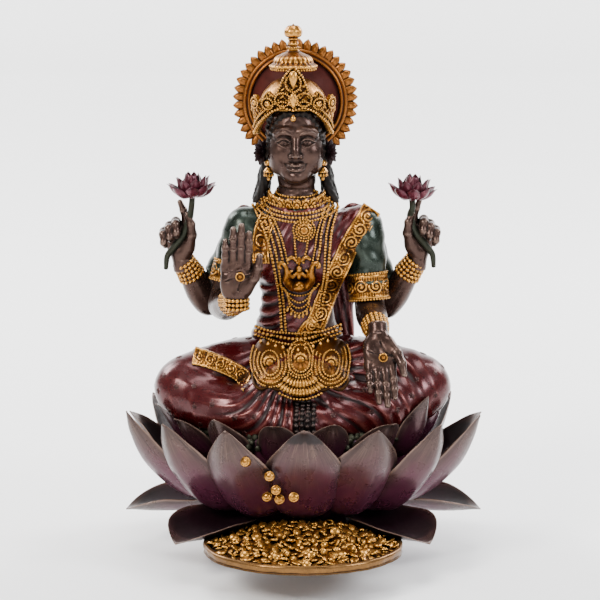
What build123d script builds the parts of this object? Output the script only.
from build123d import *

import os
from itertools import pairwise
from math import cos, radians, sin

# Seated four-armed goddess figurine on a lotus seat, as an assembly of separate castings.
# Millimetres, +Z up. The origin is the centre of the felt pad's underside, on the axis of the lotus seat.
# The figure faces -Y, so its own right hand is on the -X side.

# ------------------------------------------------------------------ driving dimensions
FELT_RADIUS = 40.0
FELT_THICKNESS = 1.2
SEAT_TOP = 50.0  # height of the lotus seat that the figure sits on
SEAT_RADIUS = 57.0
PETAL_WALL = 2.4
PETAL_COUNT = 15  # petals in the outer ring, and as many in the inner ring between them
STAMEN_RADIUS = 1.7

TRAY_CENTRE = (0.0, -71.0)
TRAY_RADII = (48.0, 43.0)
TRAY_HEIGHT = 4.6
TRAY_FLOOR = 2.0
COIN_RADIUS = 2.6
COIN_THICKNESS = 0.9

HEAD_CENTRE = (-3.7, 0.0, 189.5)
CROWN_AXIS = (-4.8, 0.0)  # x and y of the crown's upright axis
CROWN_BASE = 203.0
CROWN_TOP = 247.0
HALO_CENTRE = (-3.8, 15.0, 207.5)
HALO_DISC_RADIUS = 22.7
HALO_RIM_RADIUS = 26.2
HALO_TIP_RADIUS = 31.0
HALO_RAYS = 48
HALO_THICKNESS = 2.4

# torso sections from hip to neck: height, x of the middle, half width, half depth
TORSO_SECTIONS = [
    (88.0, -2.0, 20.5, 14.0),
    (103.0, -2.0, 17.4, 11.5),
    (118.0, -1.0, 20.0, 13.0),
    (134.0, 0.0, 25.5, 15.5),
    (146.0, 0.0, 27.0, 13.5),
    (154.0, -1.0, 19.0, 10.5),
]
BLOUSE_WALL = 1.2
SASH_WALL = 1.4

# arm skeletons: shoulder, elbow and wrist of each arm
RIGHT_FRONT = ((-29.0, 3.0, 146.0), (-40.0, -2.0, 107.5), (-32.8, -35.0, 115.0))
LEFT_FRONT = ((30.0, 3.0, 146.0), (33.5, -2.0, 105.0), (36.0, -34.0, 99.5))
RIGHT_REAR = ((-26.0, 12.0, 145.0), (-48.0, 14.0, 106.5), (-60.0, 4.0, 128.5))
LEFT_REAR = ((27.0, 12.0, 145.0), (42.0, 14.0, 105.0), (56.8, 4.0, 129.0))
SHOULDER_RADIUS = 9.6
ELBOW_RADIUS = 7.6
WRIST_RADIUS = 4.7
ARMLET_RADIUS = 10.2
BANGLE_WALL = 1.4
SLEEVE_SHARE = 0.74  # how far down the upper arm the sleeve reaches

OUT = "parts"
CRUMB_VOLUME = 1.0  # cubic millimetres


# ------------------------------------------------------------------ helpers
def lerp(a, b, share):
    """The point that lies share of the way from a to b."""
    return tuple(p + (q - p) * share for p, q in zip(a, b))


def frustum(p, q, bottom, top):
    """Adds a cone frustum from p to q to the part being built."""
    axis = Vector(*q) - Vector(*p)
    with Locations(Plane(origin=p, z_dir=axis)):
        if abs(bottom - top) < 0.02:
            Cylinder(bottom, axis.length, align=(Align.CENTER, Align.CENTER, Align.MIN))
        else:
            Cone(bottom, top, axis.length, align=(Align.CENTER, Align.CENTER, Align.MIN))


def limb(stations):
    """Adds a rounded, tapering limb through (point, radius) stations."""
    for point, radius in stations:
        with Locations(point):
            Sphere(radius)
    for (p, r), (q, s) in pairwise(stations):
        frustum(p, q, r, s)


def clear_of(*neighbours):
    """Cuts the neighbouring pieces out of the part being built, so that they meet face to face."""
    for other in neighbours:
        add(other.part, mode=Mode.SUBTRACT)


def stacked_ellipses(sections, grow=0.0):
    """Adds a loft through upright stacked ellipses, each grown by the same amount."""
    outlines = []
    for height, middle, half_width, half_depth in sections:
        with BuildSketch(Plane.XY.offset(height)) as outline:
            with Locations((middle, 0)):
                Ellipse(half_width + grow, half_depth + grow)
        outlines.append(outline.sketch)
    loft(outlines)


def petal_ring(wall, outline, angles, flat=False):
    """A ring of petals, each cut from a thin wall of revolution by a leaf outline.

    wall: radius and height of points along the petal's outer face, root to tip
    outline: half width and height of the leaf (or, if flat, half width and radius), root to tip
    angles: turn of each petal about Z from the front
    """
    with BuildPart() as leaf:
        with BuildSketch(Plane.XZ):
            with BuildLine():
                Spline(*wall)
                Spline(*[(r - PETAL_WALL * 0.7, z + PETAL_WALL * 0.72) for r, z in wall])
                Line(wall[0], (wall[0][0] - PETAL_WALL * 0.7, wall[0][1] + PETAL_WALL * 0.72))
                Line(wall[-1], (wall[-1][0] - PETAL_WALL * 0.7, wall[-1][1] + PETAL_WALL * 0.72))
            make_face()
        revolve(axis=Axis.Z)
        far = wall[-1][0] + 20
        with BuildSketch(Plane.XY if flat else Plane.XZ):
            with BuildLine():
                side = [(w, -h if flat else h) for w, h in outline]
                other = [(-w, h) for w, h in side]
                Spline(*side)
                Spline(*other)
                Line(side[0], other[0])
            make_face()
        extrude(amount=far, mode=Mode.INTERSECT)
    with BuildPart() as ring:
        for angle in angles:
            add(leaf.part, rotation=(0, 0, angle))
    return ring


def finish(built, name):
    """Drops crumbs left by the cuts, labels the finished piece and writes it as its own STEP file."""
    piece = Compound(built.solids().filter_by(lambda solid: solid.volume > CRUMB_VOLUME))
    piece.label = name
    export_step(piece, f"{OUT}/{name}.step")


os.makedirs(OUT, exist_ok=True)

# ------------------------------------------------------------------ lotus seat
with BuildPart() as felt_pad:
    Cylinder(FELT_RADIUS, FELT_THICKNESS, align=(Align.CENTER, Align.CENTER, Align.MIN))

with BuildPart() as lotus_core:
    with BuildSketch(Plane.XZ):
        with BuildLine():
            Polyline((0, SEAT_TOP), (0, FELT_THICKNESS), (FELT_RADIUS, FELT_THICKNESS))
            Spline((FELT_RADIUS, FELT_THICKNESS), (43, 8), (51, 24), (57, 38), (SEAT_RADIUS, SEAT_TOP))
            Line((SEAT_RADIUS, SEAT_TOP), (0, SEAT_TOP))
        make_face()
    revolve(axis=Axis.Z)

with BuildPart() as coin_tray:
    with BuildSketch():
        with Locations(TRAY_CENTRE):
            Ellipse(TRAY_RADII[0] - 3, TRAY_RADII[1] - 3)
    with BuildSketch(Plane.XY.offset(TRAY_HEIGHT)):
        with Locations(TRAY_CENTRE):
            Ellipse(*TRAY_RADII)
    loft()
    with BuildSketch(Plane.XY.offset(TRAY_FLOOR)):
        with Locations(TRAY_CENTRE):
            Ellipse(TRAY_RADII[0] - 2.6, TRAY_RADII[1] - 2.6)
    extrude(amount=TRAY_HEIGHT, mode=Mode.SUBTRACT)
    clear_of(felt_pad, lotus_core)

ground_petals = petal_ring(
    wall=[(38, 7.5), (58, 0.6), (74, 2.2), (89, 9.5)],
    outline=[(11, 34), (18, 58), (13, 76), (0, 90)],
    angles=[45, 90, 135, 180, -135, -90, -45],
    flat=True,
)
with ground_petals:
    clear_of(felt_pad, lotus_core, coin_tray)

outer_petals = petal_ring(
    wall=[(38, 10), (62, 16), (78, 32), (86, 58)],
    outline=[(6, 8), (14.6, 27), (11, 47), (0, 59.5)],
    angles=[360 / PETAL_COUNT * k for k in range(PETAL_COUNT)],
)
with outer_petals:
    clear_of(lotus_core)

inner_petals = petal_ring(
    wall=[(48, 30), (59, 38), (64, 50), (67, 65)],
    outline=[(7, 28), (11.8, 44), (8.5, 57), (0, 66)],
    angles=[360 / PETAL_COUNT * (k + 0.5) for k in range(PETAL_COUNT)],
)
with inner_petals:
    clear_of(lotus_core)

with BuildPart() as stamen_beads:
    for row, count in ((SEAT_RADIUS - 3, 56), (SEAT_RADIUS - 8.5, 50)):
        with Locations((0, 0, SEAT_TOP + 0.6)):
            with PolarLocations(row, count):
                Sphere(STAMEN_RADIUS)
    clear_of(lotus_core)

with BuildPart() as coin_heap:
    with BuildSketch(Plane.XY.offset(TRAY_FLOOR)):
        with Locations(TRAY_CENTRE):
            Ellipse(TRAY_RADII[0] - 4.5, TRAY_RADII[1] - 4.5)
    with BuildSketch(Plane.XY.offset(TRAY_FLOOR + 5)):
        with Locations((0, TRAY_CENTRE[1] + 2)):
            Ellipse(34, 29)
    with BuildSketch(Plane.XY.offset(TRAY_FLOOR + 11)):
        with Locations((0, TRAY_CENTRE[1] + 8)):
            Ellipse(19, 12)
    loft()
    clear_of(felt_pad, lotus_core, coin_tray, ground_petals, outer_petals)

# coins that have slid down onto the two front petals: x, y and z of each coin's face, and its tilt from upright
SPILT_COINS = [
    (-32.5, -74.5, 40.0, 24),
    (-15.0, -81.6, 34.0, 11),
    (-12.0, -79.6, 28.5, 9),
    (-16.5, -76.6, 25.5, 12),
    (-10.0, -77.4, 24.5, 8),
    (-4.0, -77.8, 25.5, 4),
]
with BuildPart() as petal_coins:
    for x, y, z, turn in SPILT_COINS:
        with Locations(Location((x, y, z), (72, 0, -turn))):
            Cylinder(COIN_RADIUS, COIN_THICKNESS + 1.6)
    clear_of(outer_petals)

# ------------------------------------------------------------------ crossed legs and lap
with BuildPart() as crossed_legs:
    with Locations((-1, 2, 72)):
        Sphere(25)
    limb([((-14, 0, 70), 19), ((-58, -15, 69), 14.4)])
    limb([((12, 0, 70), 19), ((57, -15, 69.5), 14.2)])
    limb([((-58, -15, 69), 12), ((-12, -42, 61), 9.6)])
    limb([((57, -15, 69.5), 12), ((12, -42, 61), 9.6)])
    with Locations((0, -24, SEAT_TOP)):
        Box(84, 34, 16, align=(Align.CENTER, Align.CENTER, Align.MIN))
    with Locations((0, 0, SEAT_TOP)):
        Box(200, 200, 60, align=(Align.CENTER, Align.CENTER, Align.MAX), mode=Mode.SUBTRACT)
    with Locations((0, 0, 90)):
        Box(200, 200, 60, align=(Align.CENTER, Align.CENTER, Align.MIN), mode=Mode.SUBTRACT)
    clear_of(stamen_beads, inner_petals)

with BuildPart() as torso:
    stacked_ellipses(TORSO_SECTIONS)
    clear_of(crossed_legs)

with BuildPart() as lap_pleats:
    with BuildSketch(Plane.XZ.offset(40)):
        with BuildLine():
            Polyline((-13, 51), (13, 51), (24, 76), (-24, 76), close=True)
        make_face()
    extrude(amount=14)
    clear_of(crossed_legs, stamen_beads)

with BuildPart() as bead_tassel:
    for x in (-2.6, 2.6):
        for row in range(5):
            with Locations((x, -55, 53.4 + 3.5 * row)):
                Sphere(2.0)
    frustum((-2.6, -55, 52.5), (-2.6, -55, 68), 1.1, 1.1)
    frustum((2.6, -55, 52.5), (2.6, -55, 68), 1.1, 1.1)
    clear_of(lap_pleats)

with BuildPart() as apron_ornament:
    with BuildSketch(Plane.XZ.offset(54)):
        with BuildLine():
            ThreePointArc((-16, 79), (0, 69), (16, 79))
            ThreePointArc((-16, 79), (0, 76), (16, 79))
        make_face()
    extrude(amount=3.4)
    clear_of(lap_pleats, bead_tassel)

with BuildPart() as thigh_shell:
    limb([((-14, 0, 70), 20.2), ((-58, -15, 69), 15.6)])

with BuildPart() as thigh_border:
    with BuildSketch(Plane.XZ):
        with BuildLine():
            Polyline((-45, 90), (-35, 90), (-22, 72), (-32, 72), close=True)
        make_face()
    extrude(amount=60)
    add(thigh_shell.part, mode=Mode.INTERSECT)
    clear_of(crossed_legs, torso)

# ------------------------------------------------------------------ blouse and sash
with BuildPart() as blouse:
    stacked_ellipses(TORSO_SECTIONS, BLOUSE_WALL)
    with Locations((0, 0, 114)):
        Box(120, 120, 80, align=(Align.CENTER, Align.CENTER, Align.MAX), mode=Mode.SUBTRACT)
    clear_of(torso)

with BuildPart() as sash:
    stacked_ellipses(TORSO_SECTIONS, BLOUSE_WALL + SASH_WALL)
    with BuildSketch(Plane.XZ):
        with BuildLine():
            Polyline((8, 156), (32, 156), (12, 104), (4, 92), (-14, 92), (-10, 104), close=True)
        make_face()
    extrude(amount=40, both=True, mode=Mode.INTERSECT)
    clear_of(torso, blouse, crossed_legs)

with BuildPart() as sash_border:
    stacked_ellipses(TORSO_SECTIONS, BLOUSE_WALL + SASH_WALL + 0.5)
    with BuildSketch(Plane.XZ):
        with BuildLine():
            Polyline((30, 156), (42, 156), (20, 104), (8, 90), (0, 90), (11, 104), close=True)
        make_face()
    extrude(amount=40, mode=Mode.INTERSECT)
    clear_of(torso, blouse, sash, crossed_legs)

# ------------------------------------------------------------------ head, hair, crown and halo
with BuildPart() as head:
    with BuildSketch(Plane.XZ):
        with BuildLine():
            Spline((0, -19.4), (6.0, -17.6), (11.4, -9), (13.6, 2), (11.2, 12.5), (0, 19.4))
            Line((0, 19.4), (0, -19.4))
        make_face()
    revolve(axis=Axis.Z)
    add(head.part.moved(Location(HEAD_CENTRE)), mode=Mode.REPLACE)
    frustum((-2.6, 1.5, 150), (-3.4, 0.5, 178), 9.4, 8.8)
    clear_of(torso, blouse, sash)

with BuildPart() as crown_dome:
    with BuildSketch(Plane.XZ):
        with BuildLine():
            top = CROWN_BASE + 17.6
            Polyline((3, top), (0, top), (0, CROWN_BASE - 3), (16.4, CROWN_BASE - 3), (16.6, CROWN_BASE))
            Spline((16.6, CROWN_BASE), (15.6, CROWN_BASE + 8), (11.0, CROWN_BASE + 14.6), (3, top))
        make_face()
    revolve(axis=Axis.Z)
    add(crown_dome.part.moved(Location((*CROWN_AXIS, 0))), mode=Mode.REPLACE)
    clear_of(head)

with BuildPart() as crown_finial:
    with BuildSketch(Plane.XZ):
        with BuildLine():
            base = CROWN_BASE + 15
            Polyline((0, CROWN_TOP), (0, base), (5.5, base), (5.5, base + 4), (11.6, base + 6.4))
            Polyline((11.6, base + 6.4), (11.6, base + 8), (9.2, base + 9), (6.6, base + 12.4))
            Polyline((6.6, base + 12.4), (2.8, base + 14.4), (2.8, base + 19.6), (3.0, base + 20.4))
            Spline((3.0, base + 20.4), (4.3, base + 23.4), (2.6, base + 26.6), (1.0, CROWN_TOP - 0.6))
            Polyline((1.0, CROWN_TOP - 0.6), (1.0, CROWN_TOP), (0, CROWN_TOP))
        make_face()
    revolve(axis=Axis.Z)
    add(crown_finial.part.moved(Location((*CROWN_AXIS, 0))), mode=Mode.REPLACE)
    clear_of(crown_dome)

with BuildPart() as crown_band:
    with BuildSketch(Plane.XY.offset(186)):
        with Locations(CROWN_AXIS):
            Ellipse(20.4, 18.4)
            Ellipse(17.6, 15.8, mode=Mode.SUBTRACT)
    extrude(amount=44)
    with BuildSketch(Plane.XZ):
        with BuildLine():
            x = CROWN_AXIS[0]
            outline = [(20.5, 191), (21.5, 211), (17, 206.5), (12.5, 212.5), (9, 209), (5.5, 221.5), (0, 226.5)]
            Polyline(*[(x + w, h) for w, h in outline])
            Polyline(*[(x - w, h) for w, h in outline])
            Spline((x + 20.5, 191), (x + 10, 200), (x, 202.5), (x - 10, 200), (x - 20.5, 191))
        make_face()
    extrude(amount=30, mode=Mode.INTERSECT)
    clear_of(head, crown_dome, crown_finial)

with BuildPart() as hair:
    limb([((-3.7, 4.5, 186), 15.6), ((-3.7, 4.5, 196), 15.6)])
    limb([((-17.5, 4, 190), 5.0), ((-21, 3, 174), 5.6), ((-22, 4, 160), 4.6)])
    limb([((10.5, 4, 190), 5.0), ((13.5, 3, 174), 5.6), ((14.5, 4, 160), 4.6)])
    limb([((-3.7, 13, 182), 9.0), ((-3.0, 15, 150), 9.5), ((-2.5, 13.5, 112), 4.5)])
    clear_of(head, crown_dome, crown_band, crown_finial, torso, blouse, sash)

with BuildPart() as halo_disc:
    with BuildSketch(Plane.XZ.offset(-HALO_CENTRE[1])):
        with Locations((HALO_CENTRE[0], HALO_CENTRE[2])):
            Circle(HALO_DISC_RADIUS)
    extrude(amount=-HALO_THICKNESS)
    clear_of(hair, crown_dome)

with BuildPart() as halo_rim:
    with Locations(Location(HALO_CENTRE, (90, 0, 0))):
        with Locations((0, 0, -HALO_THICKNESS)):
            Cylinder(HALO_RIM_RADIUS, HALO_THICKNESS + 1.6, align=(Align.CENTER, Align.CENTER, Align.MIN))
    clear_of(halo_disc)
    with Locations(Location(HALO_CENTRE, (90, 0, 0))):
        Cylinder(HALO_DISC_RADIUS, 20, mode=Mode.SUBTRACT)
    clear_of(hair)

with BuildPart() as halo_rays:
    with BuildSketch(Plane.XZ.offset(-HALO_CENTRE[1])):
        with Locations((HALO_CENTRE[0], HALO_CENTRE[2])):
            Circle(HALO_TIP_RADIUS - 1.8)
            with PolarLocations(HALO_TIP_RADIUS - 1.9, HALO_RAYS):
                Rectangle(2.6, 2.6, rotation=45)
            Circle(HALO_RIM_RADIUS, mode=Mode.SUBTRACT)
    extrude(amount=-HALO_THICKNESS)
    clear_of(hair)

with BuildPart() as ear_flowers:
    for x in (-21.5, 14.0):
        with Locations(Location((x, -5, 184), (0, 90, 0))):
            Cylinder(4.2, 5)
    clear_of(head, hair, crown_band)

with BuildPart() as earrings:
    for x in (-17.0, 9.6):
        with Locations((x, -7.5, 178.4)):
            Sphere(2.0)
        with Locations((x, -7.5, 172.4)):
            Sphere(2.4)
        frustum((x, -7.5, 166.5), (x, -7.5, 178), 1.3, 0.8)
    clear_of(head, hair, ear_flowers)

# ------------------------------------------------------------------ arms
ARMS = {
    "right_front": (RIGHT_FRONT, (blouse, torso)),
    "left_front": (LEFT_FRONT, (blouse, torso, sash, sash_border)),
    "right_rear": (RIGHT_REAR, (blouse, torso, hair)),
    "left_rear": (LEFT_REAR, (blouse, torso, sash, hair)),
}
sleeves, arms, bangles = {}, {}, {}
for side, ((shoulder, elbow, wrist), inner) in ARMS.items():
    cuff = lerp(shoulder, elbow, SLEEVE_SHARE)
    down = Vector(*elbow) - Vector(*shoulder)
    with BuildPart() as sleeve:
        with Locations(shoulder):
            Sphere(SHOULDER_RADIUS)
        frustum(shoulder, cuff, SHOULDER_RADIUS, 8.6)
        front = side.replace("rear", "front")
        clear_of(*inner, *([sleeves[front], arms[front]] if side.endswith("rear") else []))
    sleeves[side] = sleeve
    with BuildPart() as arm:
        frustum(cuff, elbow, 8.0, ELBOW_RADIUS)
        with Locations(elbow):
            Sphere(ELBOW_RADIUS)
        frustum(elbow, wrist, ELBOW_RADIUS, WRIST_RADIUS)
        clear_of(sleeve, torso, *([arms[front], sleeves[front]] if side.endswith("rear") else []))
    arms[side] = arm

for side, ((_, elbow, wrist), _) in ARMS.items():
    with BuildPart() as bangle:
        frustum(lerp(wrist, elbow, 0.04), lerp(wrist, elbow, 0.38), WRIST_RADIUS + BANGLE_WALL, WRIST_RADIUS + BANGLE_WALL + 1)
        clear_of(arms[side])
    bangles[side] = bangle

with BuildPart() as right_armlet:
    cuff = lerp(RIGHT_FRONT[0], RIGHT_FRONT[1], 0.48)
    frustum(cuff, lerp(RIGHT_FRONT[0], RIGHT_FRONT[1], 0.72), ARMLET_RADIUS, ARMLET_RADIUS - 0.4)
    clear_of(sleeves["right_front"], arms["right_front"], torso, blouse)
    clear_of(sleeves["right_rear"], arms["right_rear"])

with BuildPart() as left_armlet:
    cuff = lerp(LEFT_FRONT[0], LEFT_FRONT[1], 0.66)
    frustum(cuff, lerp(LEFT_FRONT[0], LEFT_FRONT[1], 0.86), ARMLET_RADIUS, ARMLET_RADIUS - 0.4)
    with Locations(Location((cuff[0], cuff[1] - 9.2, cuff[2] - 3), (90, 0, 0))):
        Cylinder(6.5, 3)
    clear_of(sleeves["left_front"], arms["left_front"], torso, blouse)
    clear_of(sleeves["left_rear"], arms["left_rear"], sash, sash_border)


# ------------------------------------------------------------------ hands
def open_hand(place):
    """A flat open hand: wrist at the origin, fingers along +Z, thumb to +X, palm to -Y."""
    with BuildPart() as hand:
        for height, half_width, half_depth in ((0, 4.4, 3.8), (7, 6.8, 3.6), (17.5, 7.6, 2.9)):
            with BuildSketch(Plane.XY.offset(height)):
                Ellipse(half_width, half_depth)
        loft()
        for x, length in ((5.7, 14.5), (2.0, 17.5), (-1.8, 16.5), (-5.5, 12.5)):
            limb([((x, 0, 16), 1.85), ((x * 1.05, 0.4, 16 + length), 1.35)])
        limb([((5.5, -1.0, 5), 2.6), ((9.6, -2.2, 12), 2.1), ((10.4, -2.0, 20), 1.5)])
    hand.part = hand.part.moved(place)
    return hand


def holding_hand(place, turn):
    """A closed hand with a raised forefinger: wrist at the origin, knuckles along +Z, thumb to turn * X."""
    with BuildPart() as hand:
        for height, half_width, half_depth in ((0, 4.4, 3.8), (7, 6.0, 4.0), (14, 6.2, 4.2)):
            with BuildSketch(Plane.XY.offset(height)):
                Ellipse(half_width, half_depth)
        loft()
        for k, x in enumerate((0.6, -3.0, -6.4)):
            top = 18.0 - 1.6 * k
            limb([((x * turn, 1, 12), 2.0), ((x * turn, -3.4, top), 1.9), ((x * turn, -5.2, top - 5), 1.7)])
        limb([((4.2 * turn, 0, 12), 2.0), ((5.4 * turn, -3, 20), 1.7), ((6.4 * turn, -3.4, 27), 1.3)])
        limb([((5.0 * turn, -1.5, 5), 2.5), ((8.0 * turn, -4, 13), 2.0), ((8.4 * turn, -4.4, 20), 1.5)])
    hand.part = hand.part.moved(place)
    return hand


hands = {
    "right_front": open_hand(Location((-32.6, -39.5, 116.5), (4, 0, 0))),
    "left_front": open_hand(Location((36.6, -38.0, 98.5), (-30, 180, 4))),
    "right_rear": holding_hand(Location((-60.6, 3.4, 129.5), (6, -8, 0)), 1),
    "left_rear": holding_hand(Location((57.6, 3.4, 130.5), (6, 8, 0)), -1),
}
for side, hand in hands.items():
    with hand:
        clear_of(arms[side], bangles[side], crossed_legs)

with BuildPart() as palm_coins:
    with Locations(Location((-30.4, -44.6, 130.5), (94, 0, 0))):
        Cylinder(1.7, 1.6)
    with Locations(Location((38.0, -47.6, 88.0), (60, 0, 0))):
        Cylinder(1.7, 1.6)
    clear_of(hands["right_front"], hands["left_front"])

# ------------------------------------------------------------------ held lotuses
STEMS = {
    "right": [((-67.5, 5, 139), 1.5), ((-57.6, -6.0, 151), 1.6), ((-55.0, -4.5, 160), 1.8)],
    "left": [((63.8, 5, 139), 1.5), ((54.6, -6.0, 150), 1.6), ((53.4, -4.5, 159), 1.8)],
}
stems, flowers = {}, {}
for side, stations in STEMS.items():
    with BuildPart() as stem:
        limb(stations)
        clear_of(hands[f"{side}_rear"])
    stems[side] = stem
    head_x, head_y, head_z = stations[-1][0]
    with BuildPart() as flower:
        frustum((head_x, head_y, head_z + 0.5), (head_x, head_y, head_z + 6.0), 3.2, 6.4)
        for half_turn, reach, rise, count in ((0, 11.6, 5.6, 9), (17, 8.4, 9.6, 7)):
            for k in range(count):
                angle = radians(360 / count * k + half_turn)
                root = (head_x + 2.6 * cos(angle), head_y + 2.6 * sin(angle), head_z + 3.1)
                tip = (head_x + reach * cos(angle), head_y + reach * sin(angle), head_z + rise)
                frustum(root, tip, 2.5, 0.6)
        clear_of(stem)
    flowers[side] = flower

# ------------------------------------------------------------------ jewellery
with BuildPart() as hip_belt:
    stacked_ellipses([(91.0, -2.0, 23.6, 17.4), (98.0, -2.0, 20.8, 14.8)])
    clear_of(torso, crossed_legs, sash, sash_border)

with BuildPart() as belt_medallions:
    for x, y, z, radius, turn in ((-1.3, -43, 86, 7.0, 0), (-16, -33, 84, 7.6, -18), (14, -33, 84, 7.6, 18)):
        with Locations(Location((x, y, z), (78, 0, turn))):
            Cylinder(radius, 2.4)
            with PolarLocations(radius, 16):
                Sphere(0.95)
    with Locations((-1.5, -34, 82)):
        Box(40, 12, 14)
    clear_of(torso, crossed_legs, hip_belt, lap_pleats, apron_ornament)

with BuildPart() as choker:
    frustum((-2.6, 0.5, 155), (-2.9, 0.0, 160.5), 14.5, 11.0)
    clear_of(torso, blouse, head, hair, sash, sash_border)

with BuildPart() as brooch:
    with Locations(Location((0.4, -16.6, 146.5), (72, 0, 0))):
        Cylinder(4.4, 2.2)
        with PolarLocations(4.6, 16):
            Sphere(0.85)
    clear_of(torso, blouse, sash, choker)

# bead strings: highest point at the left and right shoulder, and the lowest point on the chest
STRINGS = [
    ((-15.5, -9.5, 154), (-1.0, -18.5, 128), (12.5, -9.5, 154)),
    ((-17.5, -9.0, 153), (-1.4, -18.0, 121), (14.5, -9.0, 153)),
    ((-19.5, -8.5, 152), (-1.8, -16.5, 108), (16.5, -8.5, 152)),
]
with BuildPart() as bead_strings:
    for a, b, c in STRINGS:
        with BuildLine() as path:
            ThreePointArc(a, b, c)
        with BuildSketch(Plane(origin=path.line @ 0, z_dir=path.line % 0)):
            Circle(1.1)
        sweep()
    clear_of(torso, blouse, sash, sash_border, brooch, choker)

with BuildPart() as crescent_pendant:
    with BuildSketch(Plane.XZ.offset(14)):
        with Locations((-1.5, 122)):
            Circle(9.2)
            with Locations((0, 5.5)):
                Circle(7.4, mode=Mode.SUBTRACT)
        with Locations((-1.5, 128)):
            Circle(3.4)
    extrude(amount=5.4)
    clear_of(torso, blouse, sash, sash_border, bead_strings)

with BuildPart() as pendant_fringe:
    with BuildSketch(Plane.XZ.offset(13.4)):
        with Locations((-1.5, 113)):
            Circle(7.6)
            Rectangle(20, 10, align=(Align.CENTER, Align.MIN), mode=Mode.SUBTRACT)
    extrude(amount=4.6)
    clear_of(torso, blouse, sash, sash_border, bead_strings, crescent_pendant)

# ------------------------------------------------------------------ write every piece
PIECES = {
    "felt_pad": felt_pad,
    "lotus_core": lotus_core,
    "ground_petals": ground_petals,
    "outer_petals": outer_petals,
    "inner_petals": inner_petals,
    "stamen_beads": stamen_beads,
    "coin_tray": coin_tray,
    "coin_heap": coin_heap,
    "petal_coins": petal_coins,
    "crossed_legs": crossed_legs,
    "lap_pleats": lap_pleats,
    "bead_tassel": bead_tassel,
    "apron_ornament": apron_ornament,
    "thigh_border": thigh_border,
    "hip_belt": hip_belt,
    "belt_medallions": belt_medallions,
    "torso": torso,
    "blouse": blouse,
    "sash": sash,
    "sash_border": sash_border,
    "choker": choker,
    "brooch": brooch,
    "bead_strings": bead_strings,
    "crescent_pendant": crescent_pendant,
    "pendant_fringe": pendant_fringe,
    "head": head,
    "hair": hair,
    "ear_flowers": ear_flowers,
    "earrings": earrings,
    "crown_band": crown_band,
    "crown_dome": crown_dome,
    "crown_finial": crown_finial,
    "halo_disc": halo_disc,
    "halo_rim": halo_rim,
    "halo_rays": halo_rays,
    "right_armlet": right_armlet,
    "left_armlet": left_armlet,
    "palm_coins": palm_coins,
    **{f"{side}_sleeve": piece for side, piece in sleeves.items()},
    **{f"{side}_arm": piece for side, piece in arms.items()},
    **{f"{side}_bangle": piece for side, piece in bangles.items()},
    **{f"{side}_hand": piece for side, piece in hands.items()},
    **{f"{side}_stem": piece for side, piece in stems.items()},
    **{f"{side}_flower": piece for side, piece in flowers.items()},
}
for piece_name, piece in PIECES.items():
    finish(piece, piece_name)
